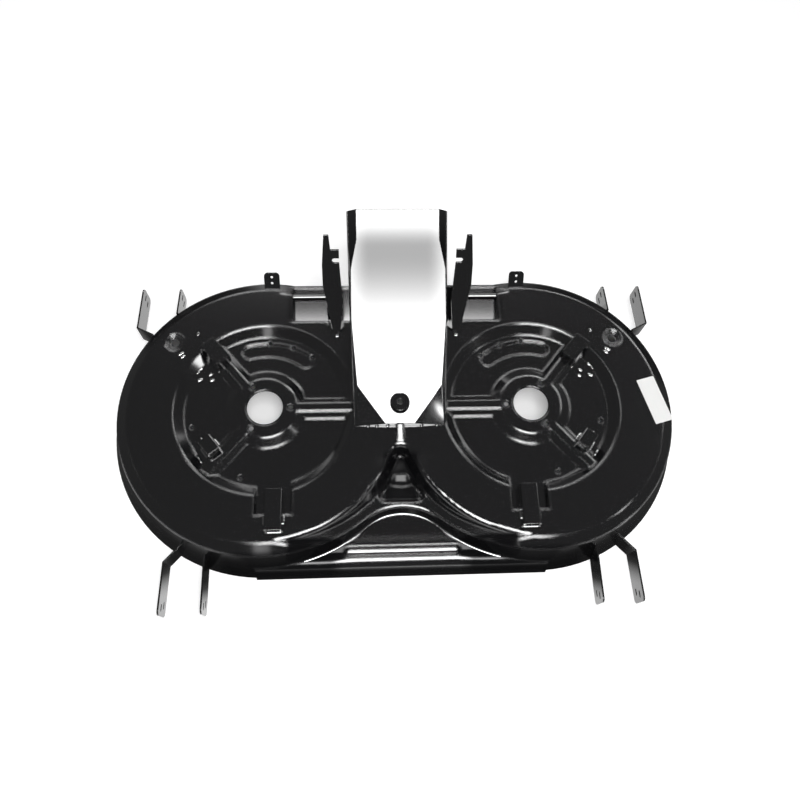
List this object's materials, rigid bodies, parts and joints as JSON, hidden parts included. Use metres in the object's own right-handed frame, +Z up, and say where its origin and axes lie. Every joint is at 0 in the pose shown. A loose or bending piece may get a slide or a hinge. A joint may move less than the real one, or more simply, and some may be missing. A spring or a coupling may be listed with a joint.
{
  "type": "mower deck",
  "caption": "Pressed steel lawn mower deck for two blades, with a central rear discharge chute, gauge wheel straps and lift hooks, all in gloss black paint",
  "frame": {"origin": "middle of the part across and front to rear, on the plane that the skirt stands on", "axes": "X across the deck to the right as seen from the front, Y from the front to the rear mouth of the chute, Z up"},
  "size_m": [1.0798, 0.718, 0.2578],
  "materials": {
    "black_paint": "gloss",
    "label": "matte"
  },
  "bodies": {
    "root": {"deck_shell": "black_paint", "chute_cover": "black_paint", "chute_floor": "black_paint", "paper_label": "label", "chute_side_left": "black_paint", "hanger_left": "black_paint", "hanger_bar_left": "black_paint", "rear_tab_left": "black_paint", "rear_bracket_left": "black_paint", "front_bracket_left": "black_paint", "lift_channel_left": "black_paint", "rear_strap_outer_left": "black_paint", "rear_strap_inner_left": "black_paint", "front_strap_outer_left": "black_paint", "front_strap_inner_left": "black_paint", "chute_side_right": "black_paint", "hanger_right": "black_paint", "hanger_bar_right": "black_paint", "rear_tab_right": "black_paint", "rear_bracket_right": "black_paint", "front_bracket_right": "black_paint", "lift_channel_right": "black_paint", "rear_strap_outer_right": "black_paint", "rear_strap_inner_right": "black_paint", "front_strap_outer_right": "black_paint", "front_strap_inner_right": "black_paint"}
  },
  "joints": []
}
